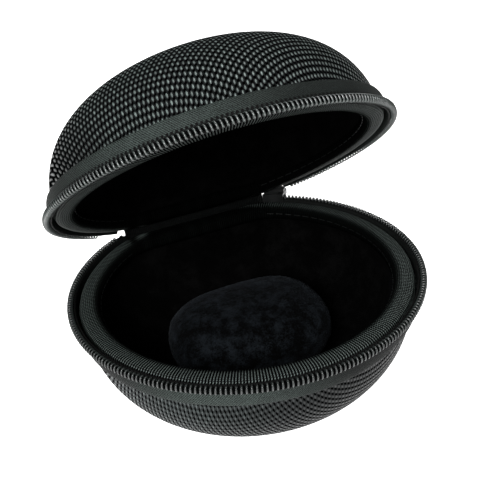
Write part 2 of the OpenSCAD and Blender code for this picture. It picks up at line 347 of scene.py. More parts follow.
def set_band_uv(piece: Piece, across: Callable[[Array, Array], Array], radius: float,
                shift: float = 0.0) -> None:
    """Lays a pattern along the rim: U runs around, V runs across the band.

    Args:
        piece: the piece, still in its half's frame.
        across: gives V from radius and depth.
        radius: radius at which U is the true length.
        shift: length added to U.
    """
    co = vertices_of(piece)
    mesh = piece.data
    angle = np.arctan2(co[:, 0], -co[:, 1])
    v = across(np.hypot(co[:, 0], co[:, 1]), -co[:, 2])
    uv = np.empty((len(mesh.loops), 2))
    for polygon in mesh.polygons:
        loops = list(polygon.loop_indices)
        verts = [mesh.loops[i].vertex_index for i in loops]
        turns = angle[verts]
        if turns.max() - turns.min() > math.pi:
            turns = np.where(turns < 0, turns + math.tau, turns)
        uv[loops, 0] = turns * radius + shift
        uv[loops, 1] = v[verts]
    write_uv(piece, uv)


# How far the woven cloth is turned on a dome, and how its weft sags beyond a span
CLOTH_TURN = 0.09
CLOTH_BEND = 0.57
CLOTH_SPAN = 22.0


def draped_uv(co: Array, profile: Profile) -> Array:
    """Lays cloth over a dome: its warp keeps the distance from the pole and its weft sags.

    Args:
        co: vertex places in the half's frame.
        profile: the dome's outline, from its rim to its pole.

    Returns:
        One place on the cloth for each vertex, in millimetres.
    """
    points = np.array(profile[::-1])
    steps = np.hypot(*np.diff(points, axis=0).T)
    length = np.concatenate([[0], np.cumsum(steps)])
    rho = np.hypot(co[:, 0], co[:, 1])
    depth = -co[:, 2]
    below = np.clip(nearest(rho, depth, points), 1, len(points) - 2)
    segment = points[below + 1] - points[below - 1]
    span = length[below + 1] - length[below - 1]
    offset = np.stack([rho, depth], 1) - points[below - 1]
    share = np.clip((offset * segment).sum(1) / (segment ** 2).sum(1), 0, 1)
    arc = length[below - 1] + share * span
    angle = np.arctan2(co[:, 0], -co[:, 1])
    u, v = arc * np.sin(angle), -arc * np.cos(angle)
    bend = CLOTH_BEND * (np.hypot(u, CLOTH_SPAN) - CLOTH_SPAN) * v / np.hypot(v, CLOTH_SPAN)
    return np.stack([u - CLOTH_TURN * v, v + CLOTH_TURN * u - bend], 1)


# ---- Finishes ----

@dataclass(frozen=True)
class Signal:
    """A value that flows through a material's nodes; each sum or product of it adds a node."""

    graph: "Graph"
    socket: bpy.types.NodeSocket

    def of(self, operation: str, *others) -> "Signal":
        """Result of a maths operation on this value and perhaps another."""
        return self.graph.math(operation, self, *others)

    __add__ = partialmethod(of, "ADD")
    __sub__ = partialmethod(of, "SUBTRACT")
    __mul__ = partialmethod(of, "MULTIPLY")
    __truediv__ = partialmethod(of, "DIVIDE")
    __pow__ = partialmethod(of, "POWER")


class Graph:
    """A material's node tree, with its shader and short ways to write formulas."""

    def __init__(self, name: str) -> None:
        """Makes an empty material of that name."""
        self.material = bpy.data.materials.new(name)
        self.material.use_nodes = True
        self.tree = self.material.node_tree
        self.tree.nodes.clear()
        self.shader = self.tree.nodes.new("ShaderNodeBsdfPrincipled")
        output = self.tree.nodes.new("ShaderNodeOutputMaterial")
        self.tree.links.new(self.shader.outputs[0], output.inputs["Surface"])

    def feed(self, socket: bpy.types.NodeSocket, value) -> None:
        """Links an input to a signal, or sets it to a plain value."""
        if isinstance(value, Signal):
            self.tree.links.new(value.socket, socket)
        else:
            socket.default_value = value

    def node(self, kind: str, inputs: dict | None = None, output: int | str = 0,
             **settings) -> Signal:
        """Adds a node and gives that output of it; each input takes a signal or a value."""
        node = self.tree.nodes.new(kind)
        for key, value in settings.items():
            setattr(node, key, value)
        for key, value in (inputs or {}).items():
            self.feed(node.inputs[key], value)
        return Signal(self, node.outputs[output])

    def math(self, operation: str, *values) -> Signal:
        """Result of a maths operation on signals or numbers."""
        return self.node("ShaderNodeMath", dict(enumerate(values)), operation=operation)

    def uv(self) -> tuple[Signal, Signal]:
        """The two pattern coordinates of the surface, in millimetres."""
        place = self.node("ShaderNodeTexCoord", output="UV")
        u = self.node("ShaderNodeSeparateXYZ", {0: place})
        return u, Signal(self, u.socket.node.outputs[1])

    def noise(self, scale: float, detail: float = 3, use_uv: bool = False,
              roughness: float = 0.55, stretch: tuple = (1, 1, 1)) -> Signal:
        """Soft random values; scale is in bumps per millimetre on UV, per metre on the object."""
        place = self.node("ShaderNodeTexCoord", output="UV" if use_uv else "Object")
        mapped = self.node("ShaderNodeMapping", {"Vector": place, "Scale": stretch})
        return self.node("ShaderNodeTexNoise", {
            "Vector": mapped, "Scale": scale, "Detail": detail, "Roughness": roughness})

    def ramp(self, value: Signal, *stops: tuple[float, str]) -> Signal:
        """Colour that follows a value through hex colours at given places."""
        colour = self.node("ShaderNodeValToRGB", {0: value})
        elements = colour.socket.node.color_ramp.elements
        while len(elements) < len(stops):
            elements.new(0.5)
        for element, (position, shade) in zip(elements, stops):
            element.position = position
            element.color = linear(shade)
        return colour

    def remap(self, value: Signal, low: float, high: float,
              to_low: float = 0.0, to_high: float = 1.0) -> Signal:
        """Value moved from one range to another, clamped."""
        return self.node("ShaderNodeMapRange",
                         {0: value, 1: low, 2: high, 3: to_low, 4: to_high})

    def bump(self, height: Signal, depth_mm: float, strength: float = 1.0) -> None:
        """Feeds a relief of that depth to the shader."""
        self.set(Normal=self.node("ShaderNodeBump", {
            "Height": height, "Distance": mm(depth_mm), "Strength": strength}))

    def set(self, **values) -> None:
        """Sets or links the shader's inputs, named with underscores for spaces."""
        for key, value in values.items():
            self.feed(self.shader.inputs[key.replace("_", " ")], value)


class Look:
    """A finish by its name, which paints the graph of its own material."""

    def build(self) -> bpy.types.Material:
        """Makes the material."""
        graph = Graph(self.name)
        self.paint(graph)
        return graph.material


@dataclass(frozen=True)
class BallisticNylon(Look):
    """Ballistic nylon in a coarse basket weave, heat-moulded: glossy crowns with a painted
    highlight, painted shade in the gaps.

    From the first to the second U of shade_from, its tone sinks to the share shade. That
    stands in for light from one side and isn't wear.
    """

    name: str = "ballistic_nylon"
    crown: str = "#515b58"
    float_side: str = "#181b1b"
    gap: str = "#010101"
    column: float = 2.6
    row: float = 2.4
    crown_w: float = 0.5
    crown_l: float = 0.88
    ground: float = 0.16
    slot_w: float = 0.5
    slot_l: float = 0.8
    slant: float = -0.08
    second: float = 0.92
    crown_highlight_power: float = 1.7
    relief: float = 0.3
    gloss: float = 0.3
    shade_from: Pair = (-36.0, 10.0)
    shade: float = 1.0

    def lattice(self, graph: Graph, shift_u: float, shift_v: float, width: float,
                length: float) -> Signal:
        """Height of round tops of half that width and length, from 0 between them to 1.

        They stand in a grid of one repeat, moved along U and V by shares of a repeat.
        """
        u, v = graph.uv()
        y = ((v / self.row + shift_v).of("FRACT") - 0.5) * self.row
        x = ((u / self.column + shift_u).of("FRACT") - 0.5) * self.column + y * self.slant
        inside = graph.math("SUBTRACT", 1.0, (x / width) ** 2 + (y / length) ** 2)
        return inside.of("MAXIMUM", 0.0).of("SQRT")

    def paint(self, graph: Graph) -> None:
        """Sets the shader."""
        warp = self.lattice(graph, 0.0, 0.0, self.crown_w, self.crown_l)
        weft = self.lattice(graph, 0.5, 0.5, self.crown_w, self.crown_l)
        crowns = warp.of("MAXIMUM", weft * self.second)
        slots = self.lattice(graph, 0.5, 0.0, self.slot_w, self.slot_l).of(
            "MAXIMUM", self.lattice(graph, 0.0, 0.5, self.slot_w, self.slot_l))
        ground = graph.math("SUBTRACT", 1.0, graph.remap(slots, 0.0, 0.6)) * self.ground
        height = crowns.of("MAXIMUM", ground)
        # Crowns raised to a power are painted lighter towards their tops, as painted highlight;
        # between them the tone falls to the gap colour, black, as painted shade.
        core = (crowns ** self.crown_highlight_power).of("MAXIMUM", ground)
        uneven = graph.remap(graph.noise(0.45, use_uv=True), 0.3, 0.7, 0.7, 1.15)
        fibre = graph.noise(3.0, use_uv=True, stretch=(2.5, 0.6, 1))
        tone = core * uneven * graph.remap(fibre, 0.3, 0.7, 0.7, 1.15)
        tone *= graph.remap(graph.uv()[0], *self.shade_from, 1.0, self.shade)
        graph.set(
            Base_Color=graph.ramp(tone, (0.0, self.gap), (0.4, self.float_side), (1.0, self.crown)),
            Roughness=graph.remap(height, 0, 1, 0.8, 0.4),
            Specular_IOR_Level=graph.remap(height, 0.2, 1, 0.0, self.gloss))
        graph.bump(height + fibre * 0.1, self.relief)


@dataclass(frozen=True)
class TwillTape(Look):
    """Woven zip tape: fine diagonal twill; where the coil is sewn on, it is painted black as
    painted shade under the coil.

    Between the two distances from lit_at along the rim, its tone sinks to the share shade.
    That stands in for light from one side and isn't wear.
    """

    name: str = "twill_tape"
    thread: str = "#363e3b"
    gap: str = "#020202"
    pitch: float = 0.7
    coil_edge: float = 2.4
    hole_pitch: float = math.tau * TAPE_R / TEETH
    hole_r: float = 0.42
    hole_below: float = 0.4
    slope: float = 0.9
    lit_at: float = -26.0
    shade_from: Pair = (8.0, 36.0)
    shade: float = 0.42

    def paint(self, graph: Graph) -> None:
        """Sets the shader."""
        u, v = graph.uv()
        wave = ((u + v * self.slope) * (math.tau / self.pitch)).of("SINE")
        wobble = graph.noise(2.2, detail=4, use_uv=True)
        grain = graph.noise(5.0, use_uv=True, stretch=(1.4, 1, 1))
        height = graph.remap(wave, -1, 1) + graph.remap(wobble, 0.3, 0.7, -0.5, 0.5)
        cloud = graph.noise(0.25, use_uv=True)
        tone = graph.remap(height, -0.3, 1.2) * graph.remap(cloud, 0.3, 0.7, 0.75, 1.0)
        tone *= graph.remap(grain, 0.38, 0.6, 0.25, 1.15)
        # Under the coil, with V below coil_edge, the tone drops to the gap colour: painted shade
        # cast by the coil.
        outside = graph.remap(v, self.coil_edge, self.coil_edge + 0.25)
        hole_x = (u / self.hole_pitch + 0.5).of("FRACT") - 0.5
        hole_x *= self.hole_pitch / self.hole_r
        hole_y = (v - (self.coil_edge + self.hole_below)) / self.hole_r
        tone *= outside * graph.remap(hole_x ** 2 + hole_y ** 2, 0.6, 1.2)
        away = (u - self.lit_at).of("ABSOLUTE")
        tone *= graph.remap(away, *self.shade_from, 1.15, self.shade)
        graph.set(Base_Color=graph.ramp(tone, (0.0, self.gap), (1.0, self.thread)),
                  Roughness=0.7, Specular_IOR_Level=0.06)
        graph.bump(height + grain * 0.8, 0.12, 0.8)


@dataclass(frozen=True)
class Grosgrain(Look):
    """Ribbed grosgrain ribbon: hard cords wound with a thin yarn.

    Between the two radii of shaded, inwards, its tone sinks to the share shade: painted shade on
    the ribbon's inner side.
    """

    name: str = "grosgrain_ribbon"
    crown: str = "#4b5451"
    flank: str = "#101312"
    gap: str = "#010101"
    winding: float = 0.6
    sharp: float = 1.4
    shaded: Pair = (45.0, 47.0)
    shade: float = 0.12

    def paint(self, graph: Graph) -> None:
        """Sets the shader."""
        u, v = graph.uv()
        sway = graph.noise(0.5, detail=2, use_uv=True, stretch=(0.3, 1, 1)) * 0.5
        # Each cord's tone falls from its top through the flank to the gap colour: painted highlight
        # on the crowns, painted shade between the cords.
        cords = graph.remap((u * math.tau).of("COSINE"), -1, 1) ** self.sharp
        turns = v / self.winding + (sway + u)
        dots = graph.remap((turns * math.tau).of("COSINE"), -1, 1, 0.45, 1.0)
        twist = graph.noise(1.6, detail=4, use_uv=True, stretch=(1, 2, 1))
        tone = cords * dots * graph.remap(twist, 0.25, 0.75, 0.6, 1.15)
        # Painted shade: darker towards the inner side of the ribbon.
        tone *= graph.remap(v, *self.shaded, self.shade, 1.0)
        stops = (0.0, self.gap), (0.35, self.flank), (1.0, self.crown)
        graph.set(Base_Color=graph.ramp(tone, *stops), Roughness=0.6,
                  Specular_IOR_Level=graph.remap(tone, 0.2, 1, 0.0, 0.4))
        graph.bump(twist + dots, 0.12, 0.6)


@dataclass(frozen=True)
class NylonFilament(Look):
    """Black nylon monofilament, formed hot into the zip's coil: smooth with soft highlights."""

    name: str = "nylon_filament"
    colour: str = "#181c1b"
    worn: str = "#2b312f"
    gloss: float = 0.6

    def paint(self, graph: Graph) -> None:
        """Sets the shader."""
        patch = graph.noise(900.0, detail=2)
        graph.set(Base_Color=graph.ramp(patch, (0.35, self.colour), (0.7, self.worn)),
                  Roughness=graph.remap(patch, 0.3, 0.7, 0.42, 0.3),
                  Specular_IOR_Level=self.gloss, IOR=1.53)
        graph.bump(graph.noise(2600.0, detail=2), 0.03, 0.4)


@dataclass(frozen=True)
class Velvet(Look):
    """Cut-pile velvet: light sinks in between the fibres, and only the brushed pile glows."""

    name: str = "velvet"
    deep: str = "#010101"
    brushed: str = "#040405"
    patch_scale: float = 140.0
    sheen: float = 0.02
    sheen_tint: str = "#8c93a0"
    relief: float = 0.25

    def paint(self, graph: Graph) -> None:
        """Sets the shader."""
        brushed = graph.noise(self.patch_scale, detail=6, roughness=0.72)
        pile = graph.noise(3200.0, detail=2)
        tone = graph.remap(brushed, 0.42, 0.68) + graph.remap(pile, 0.3, 0.7, -0.4, 0.4)
        graph.set(Base_Color=graph.ramp(tone, (0.1, self.deep), (0.95, self.brushed)),
                  Roughness=0.95, Specular_IOR_Level=0.02,
                  Sheen_Weight=self.sheen, Sheen_Roughness=0.35,
                  Sheen_Tint=linear(self.sheen_tint))
        graph.bump(brushed + pile * 0.3, self.relief, 0.8)


@dataclass(frozen=True)
class Thread(Look):
    """Bonded polyester thread: two plies twisted tight, with a dull gloss."""

    name: str = "bonded_thread"
    colour: str = "#050606"
    ply: float = 2100.0
    gloss: float = 0.1

    def paint(self, graph: Graph) -> None:
        """Sets the shader."""
        place = graph.node("ShaderNodeTexCoord", output="Object")
        plies = graph.node("ShaderNodeTexWave", {
            "Vector": place, "Scale": self.ply, "Distortion": 2.0}, output=1,
            bands_direction="DIAGONAL")
        graph.set(Base_Color=graph.ramp(plies, (0.0, "#020303"), (1.0, self.colour)),
                  Roughness=0.55, Specular_IOR_Level=self.gloss)
        graph.bump(plies, 0.05, 0.6)


@dataclass(frozen=True)
class Enamel(Look):
    """Die-cast zinc under black stove enamel: soft gloss, a little orange peel, a little dust."""

    name: str = "enamelled_zinc"
    colour: str = "#070808"
    dust: str = "#101112"

    def paint(self, graph: Graph) -> None:
        """Sets the shader."""
        peel = graph.noise(1500.0, detail=3)
        dust = graph.noise(260.0, detail=4)
        graph.set(Base_Color=graph.ramp(dust, (0.35, self.colour), (0.8, self.dust)),
                  Roughness=graph.remap(dust, 0.3, 0.7, 0.35, 0.5),
                  Specular_IOR_Level=0.3)
        graph.bump(peel, 0.03, 0.4)


@dataclass(frozen=True)
class Foam(Look):
    """Moulded foam board: closed cells, matt, faintly pitted."""

    name: str = "moulded_foam"
    colour: str = "#26282a"

    def paint(self, graph: Graph) -> None:
        """Sets the shader."""
        place = graph.node("ShaderNodeTexCoord", output="Object")
        cells = graph.node("ShaderNodeTexVoronoi", {"Vector": place, "Scale": 1500.0})
        graph.set(Base_Color=graph.ramp(cells, (0.0, "#141516"), (0.6, self.colour)),
                  Roughness=0.9)
        graph.bump(cells, 0.15, 0.5)


@dataclass(frozen=True)
class OpalAcrylic(Look):
    """Opal acrylic table, lit softly from below, so that shadows on it stay faint."""

    name: str = "opal_acrylic"
    colour: str = "#f4f4f4"
    glow: float = 1.0

    def paint(self, graph: Graph) -> None:
        """Sets the shader."""
        grain = graph.noise(700.0, detail=3)
        graph.set(Base_Color=graph.ramp(grain, (0.3, self.colour), (0.7, "#fbfbfb")), Roughness=0.9,
                  Emission_Color=linear("#ffffff"), Emission_Strength=self.glow)
        graph.bump(grain, 0.02, 0.2)


class Finish(Enum):
    """Every finish on the case, by what it is made of; some are copies of one material with painted
    light or shade.
    """

    WEAVE = BallisticNylon(shade_from=(-38.0, -56.0), shade=0.5)
    # The lower half's cover: a copy of the same cloth, with a paler ground between the slots as
    # painted light, and darker crowns and floats and a tone that sinks towards its right side as
    # painted shade.
    LOW_WEAVE_LIT_AND_SHADED = BallisticNylon(
        name="lower_ballistic_nylon_lit_and_shaded", crown="#303736", float_side="#131616", ground=0.5,
        crown_w=0.62, crown_l=0.95, slot_w=0.42, slot_l=0.72, slant=-0.35, relief=0.2, gloss=0.1,
        shade=0.32)
    # The hinge strip's darker crowns and floats are painted shade: it sits in the shade between the
    # halves.
    HINGE_WEAVE = BallisticNylon(
        name="fine_shaded_hinge_nylon", crown="#171a19", float_side="#090a0a", column=1.3, row=1.2,
        crown_w=0.26, crown_l=0.46, slot_w=0.25, slot_l=0.4, relief=0.15, gloss=0.1)
    TAPE = TwillTape()
    # The lower half's tape is a copy with deeper painted shade away from its lit place.
    LOW_TAPE = TwillTape(name="lower_twill_tape", shade=0.15)
    RIBBON = Grosgrain()
    # The lid's ribbon is a darker copy of the same ribbon: painted shade.
    LID_RIBBON = Grosgrain(name="shaded_grosgrain_ribbon", crown="#363c3a", flank="#0b0d0c")
    COIL = NylonFilament()
    # The lower half's coil is a darker, less glossy copy of the same filament: painted shade.
    LOW_COIL = NylonFilament(name="lower_nylon_filament", colour="#0e1110", worn="#1c201f",
                             gloss=0.35)
    LINING = Velvet(name="black_velvet", deep="#000000", brushed="#030303", sheen=0.005)
    PILLOW = Velvet(name="crushed_grey_velvet", deep="#010101", brushed="#101316",
                    patch_scale=210.0, sheen=0.02, sheen_tint="#b9c4cf", relief=0.9)
    THREAD = Thread()
    CORD = Thread(name="filler_yarn", colour="#040404", gloss=0.0)
    ENAMEL = Enamel()
    FOAM = Foam()
    TABLE = OpalAcrylic()


class Wardrobe:
    """Makes each finish once and puts it on pieces."""

    def __init__(self) -> None:
        """Starts with no finish made."""
        self.made: dict[Finish, bpy.types.Material] = {}

    def dress(self, piece: Piece, finish: Finish) -> None:
        """Puts a finish on a piece in place of any other."""
        if finish not in self.made:
            self.made[finish] = finish.value.build()
        piece.data.materials.clear()
        piece.data.materials.append(self.made[finish])


WARDROBE = Wardrobe()


def finish_piece(piece: Piece, finish: Finish, body: str, slot: str, *nodes: str) -> None:
    """Dresses a finished piece and hands it to its body.

    Args:
        piece: the piece, in its place in the case.
        finish: what it is made of.
        body: CAD body that it rides on.
        slot: the record's material slot; not used.
        nodes: CAD nodes that it stands for.
    """
    WARDROBE.dress(piece, finish)
    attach(piece, body)
    if nodes:
        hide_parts(*nodes)
    log.info("%s: %d faces on %s", piece.name, len(piece.data.polygons), body)


# ---- The halves ----

@dataclass
class ShellHalf:
    """One half of the case: cover, foam, lining, binding, zip tape and coil."""

    side: Side
    around: int = 192
    steps: int = 30
    cover_t: float = 0.6
    foam_t: float = 3.6
    lining_t: float = 0.8
    binding_t: float = 0.7
    rib_pitch: float = 0.85
    rib_rise: float = 0.13
    rib_out: float = 0.1
    binding_low: float = 4.3
    tape_steps: int = 300
    tape_top: float = 0.08
    tape_drop: float = 3.0
    drop_rate: float = 2.0
    drop_after: float = 6.0
    cord_half: Pair = (0.95, 0.55)
    cord_off: Pair = (-0.15, 0.35)

    @property
    def body(self) -> str:
        """CAD body of this half."""
        return self.side.value

    def finish(self, piece: Piece, finish: Finish, slot: str, *nodes: str) -> None:
        """Places a piece built in this half's frame and hands it to the half's body."""
        place(piece, self.side)
        smooth(piece)
        named = [f"{self.body}_{node}" for node in nodes]
        finish_piece(piece, finish, self.body, slot, *named)

    @staticmethod
    def add_flange(wall: Profile, edge: float, low: float, top: float) -> Profile:
        """Profile of a wall under its rim band, which ends at that edge and depth."""
        band = [(edge, top), (edge, low - 0.5), (edge - 0.25, low), (edge - 0.8, low + 0.7)]
        return band + [p for p in wall if p[1] > low + 1.4]

    def shell_profile(self, off_out: float, off_in: float, top: float,
                      flange: bool) -> tuple[Profile, Profile]:
        """Outer and inner profile of a shell layer between two offsets, from their top edges."""
        outer = SECTION.outline(self.side, off_out, max(top, SECTION.shoulder), self.steps)
        inner = SECTION.outline(self.side, off_in, max(top, SECTION.shoulder), self.steps)
        if flange:
            low = SECTION.band(self.side)
            outer = self.add_flange(outer, FLANGE_R - off_out, low, top)
            inner = self.add_flange(inner, FLANGE_R - off_in, low - 0.3, top)
        elif top < SECTION.shoulder:
            outer = [(SECTION.dome_r - off_out, top)] + outer
            inner = [(SECTION.dome_r - off_in, top)] + inner
        return outer, inner

    def build_layer(self, name: str, off_out: float, off_in: float, top: float,
                    flange: bool) -> Piece:
        """Builds a shell layer as one closed wall, pulled ring by ring."""
        outer, inner = self.shell_profile(off_out, off_in, top, flange)
        profile = outer + inner[::-1]
        piece = turn_rings(f"{self.body}_{name}", profile, self.around)
        set_uv(piece, draped_uv(vertices_of(piece), outer))
        offs = [off_out] * len(outer) + [off_in] * len(inner)
        limits = [SECTION.back - off + max(0.0, r + off - SECTION.dome_r)
                  for off, (r, _) in zip(offs, profile)]
        flatten_back(piece, profile, limits)
        return piece

    def build_shells(self) -> None:
        """Builds the woven cover, the foam and the velvet lining."""
        cover = self.build_layer("woven_cover", 0, self.cover_t, SECTION.groove, True)
        finish = Finish.LOW_WEAVE_LIT_AND_SHADED if self.side is Side.BASE else Finish.WEAVE
        self.finish(cover, finish, "woven_cover", "cover")
        foam_in = self.cover_t + self.foam_t
        foam = self.build_layer("moulded_shell", self.cover_t + GLUE, foam_in, 2.0, False)
        self.finish(foam, Finish.FOAM, "shell_foam", "foam_shell")
        lining = self.build_layer("velvet_lining", foam_in + GLUE, foam_in + self.lining_t, 2.0,
                                  False)
        self.finish(lining, Finish.LINING, "velvet_lining", "lining")

    def build_binding(self) -> None:
        """Builds the ribbed ribbon folded over the rim, with a rib at every cord."""
        outer = SECTION.dome_r + 0.25
        inner = SECTION.dome_r - self.cover_t - self.foam_t - self.lining_t - 0.2 - self.binding_t
        t, low = self.binding_t, self.binding_low
        profile = [
            (outer, low), (outer, 2.2), (outer - 0.25, 1.2), (outer - 0.9, 0.65),
            (outer - 1.9, 0.45), (inner + 1.6, 0.5), (inner + 0.7, 0.8), (inner + 0.15, 1.6),
            (inner, 2.8), (inner, low), (inner + t, low), (inner + t, 1.9), (outer - t, 1.9),
            (outer - t, low)]
        ribs = round(math.tau * outer / self.rib_pitch)
        piece = turn_rings(f"{self.body}_ribbed_binding", profile, ribs * 4)
        co = vertices_of(piece)
        angle = np.arctan2(co[:, 0], -co[:, 1])
        rib = np.cos(angle * ribs)
        folded_under = 1.85
        outside = np.where(-co[:, 2] < folded_under, 1.0, 0.0)
        co[:, 2] += self.rib_rise * rib * outside
        set_vertices(piece, co)
        flatten_back(piece, profile, [SECTION.back + r - SECTION.dome_r for r, _ in profile])
        co = vertices_of(piece)
        rho = np.hypot(co[:, 0], co[:, 1])
        near = 0.05
        at_outer = (rho > outer - near).astype(float)
        at_inner = (rho < inner + near).astype(float)
        grow = 1 + (self.rib_out * rib * at_outer - self.rib_out * rib * at_inner) / rho
        co[:, :2] *= grow[:, None]
        set_vertices(piece, co)
        set_band_uv(piece, lambda rho, h: rho, ribs / math.tau)
        finish = Finish.RIBBON if self.side is Side.BASE else Finish.LID_RIBBON
        self.finish(piece, finish, "ribbed_binding", "rim_binding")

    def bearings(self) -> Pair:
        """Bearings of the ends of this half's zip, in degrees clockwise from the hinge."""
        start = ZIP_START[self.side]
        return start, 360 - start

    def build_tape(self) -> None:
        """Builds the zip tape: a soft band that rolls from the shell out to the coil."""
        start, stop = self.bearings()
        low = SECTION.band(self.side)
        profile = [
            (50.6, low + 1.5), (51.1, low + 1.35), (51.5, low + 1.0), (51.78, low + 0.45),
            (51.95, low - 0.2), (52.08, low - 0.9), (52.18, low - 1.6), (52.26, 3.2),
            (52.29, 2.4), (52.27, 1.4), (52.22, 0.3), (52.05, self.tape_top), (51.8, self.tape_top),
            (51.66, 0.5), (51.64, 2.6), (51.64, low - 0.9), (51.45, low), (51.1, low + 0.6),
            (50.8, low + 0.9), (50.5, low + 1.2)]
        piece, column, row = grid_piece(f"{self.body}_zip_tape", len(profile), self.tape_steps)
        points = np.array(profile + profile[:1])
        before, after = TAPE_SPARE[self.side]
        bearing = start - before + (stop - start + before + after) * row / self.tape_steps
        beyond = np.maximum((start - bearing) * self.drop_rate, bearing - stop - self.drop_after)
        beyond = np.clip(beyond, 0, 1)
        depth = np.maximum(points[column, 1], self.tape_top + beyond * self.tape_drop)
        set_vertices(piece, on_rim(points[column, 0], bearing, depth))
        close_tube(piece)
        step = math.tau * TAPE_R / TEETH
        # On the tape's inner face V is moved far past the coil's painted shade, so that face keeps
        # the plain twill.
        inner_face, inner_low, plain_v = 51.75, 4, 20
        set_band_uv(
            piece, lambda rho, h: h + np.where((rho < inner_face) & (h < inner_low), plain_v, 0),
            TAPE_R, step / 2 if self.side is Side.LID else 0.0)
        finish = Finish.LOW_TAPE if self.side is Side.BASE else Finish.TAPE
        self.finish(piece, finish, "zip_tape", "zip_tape")

    def build_coil(self) -> None:
        """Builds the nylon coil: loops around the cord, with crossing feet."""
        coil = CoilShape(lean=COIL_LEAN[self.side])
        piece, column, row = grid_piece(f"{self.body}_zip_coil", coil.sides, coil.steps)
        centre, tangent = coil.loop(row / coil.steps)
        side = np.cross(tangent, np.array([1.0, 0, 0]))
        side /= np.linalg.norm(side, axis=1)[:, None]
        other = np.cross(tangent, side)
        turn = (math.tau * column / coil.sides)[:, None]
        set_vertices(piece, centre + coil.wire_r * (side * np.cos(turn) + other * np.sin(turn)))
        start_edit(piece)
        bpy.ops.mesh.remove_doubles(threshold=TIGHT)
        end_edit()
        start, stop = self.bearings()
        shift = 0.0 if self.side is Side.BASE else 0.5
        step = 360 / TEETH
        first = math.ceil((start + coil.end_space) / step - shift)
        last = math.floor((stop - coil.end_space) / step - shift) - 1
        add_modifier(piece, "ARRAY", count=last - first + 1, use_relative_offset=False,
                     use_constant_offset=True, constant_offset_displace=(coil.pitch, 0, 0),
                     use_merge_vertices=True, merge_threshold=TIGHT)
        co = vertices_of(piece)
        bearing = (first + shift) * step + np.degrees(co[:, 0] / CORD_R)
        set_vertices(piece, on_rim(co[:, 1], bearing, co[:, 2]))
        close_tube(piece)
        finish = Finish.LOW_COIL if self.side is Side.BASE else Finish.COIL
        self.finish(piece, finish, "zip_coil", "zip_coil")

    def build_cord(self) -> None:
        """Builds the soft filler cord that fills the loops of the coil."""
        coil = CoilShape()
        sides, around = 16, 260
        start, stop = self.bearings()
        piece, column, row = grid_piece(f"{self.body}_filler_cord", sides, around)
        turn = math.tau * column / sides
        spare = coil.end_space / 2
        bearing = start + spare + (stop - start - 2 * spare) * row / around
        waves = np.cos(turn), np.sin(turn)
        across, along = (np.sign(wave) * np.sqrt(np.abs(wave)) for wave in waves)
        radius = CORD_R + self.cord_off[0] + self.cord_half[0] * across
        depth = coil.h_mid + self.cord_off[1] + self.cord_half[1] * along
        set_vertices(piece, on_rim(radius, bearing, depth))
        close_tube(piece)
        self.finish(piece, Finish.CORD, "thread", "coil_cord")


# Bearing of each zip's first end, lean of its loops, and degrees of tape beyond its ends
ZIP_START = {Side.BASE: 29.34, Side.LID: 38.79}
COIL_LEAN = {Side.BASE: 0.1, Side.LID: 0.38}
TAPE_SPARE = {Side.BASE: (0.3, 0.3), Side.LID: (1.0, 9.4)}


@dataclass(frozen=True)
class CoilShape:
    """One loop of the zip's nylon coil, in millimetres: along the rim, radius and depth."""

    r_mid: float = CORD_R
    r_half: float = 0.72
    h_mid: float = 0.75
    h_half: float = 0.95
    wire_r: float = 0.3
    square: float = 0.78
    lean: float = 0.0
    steps: int = 14
    sides: int = 6
    end_space: float = 1.5

    @property
    def pitch(self) -> float:
        """Distance from loop to loop along the cord."""
        return math.tau * CORD_R / TEETH

    def at(self, t: Array) -> Array:
        """Middle of the filament after a share t of the loop."""
        phase = math.tau * t
        cos, sin = np.cos(phase), np.sin(phase)
        radius = self.r_mid - self.r_half * np.sign(cos) * np.abs(cos) ** self.square
        depth = self.h_mid - self.h_half * np.sign(sin) * np.abs(sin) ** self.square
        along = self.pitch * np.interp(
            t, [0, 0.42, 0.72, 0.92, 1], [0, 0.04, 0.04 + self.lean, 1, 1])
        return np.stack([along, radius, depth], 1)

    def loop(self, t: Array) -> tuple[Array, Array]:
        """Middle and direction of the filament after a share t of the loop."""
        step = 0.01
        next_loop = np.array([self.pitch, 0.0, 0.0])
        before = self.at(np.mod(t - step, 1.0)) - (t - step < 0)[:, None] * next_loop
        after = self.at(np.mod(t + step, 1.0)) + (t + step >= 1)[:, None] * next_loop
        tangent = after - before
        return self.at(t), tangent / np.linalg.norm(tangent, axis=1)[:, None]


# ---- Cloth hinge and pillow ----

def curve(start: Array, first: Array, second: Array, end: Array, t: Array) -> Array:
    """Cubic curve from start to end, drawn by two handles, after a share t."""
    n = 1 - t
    return n ** 3 * start + 3 * n * n * t * first + 3 * n * t * t * second + t ** 3 * end


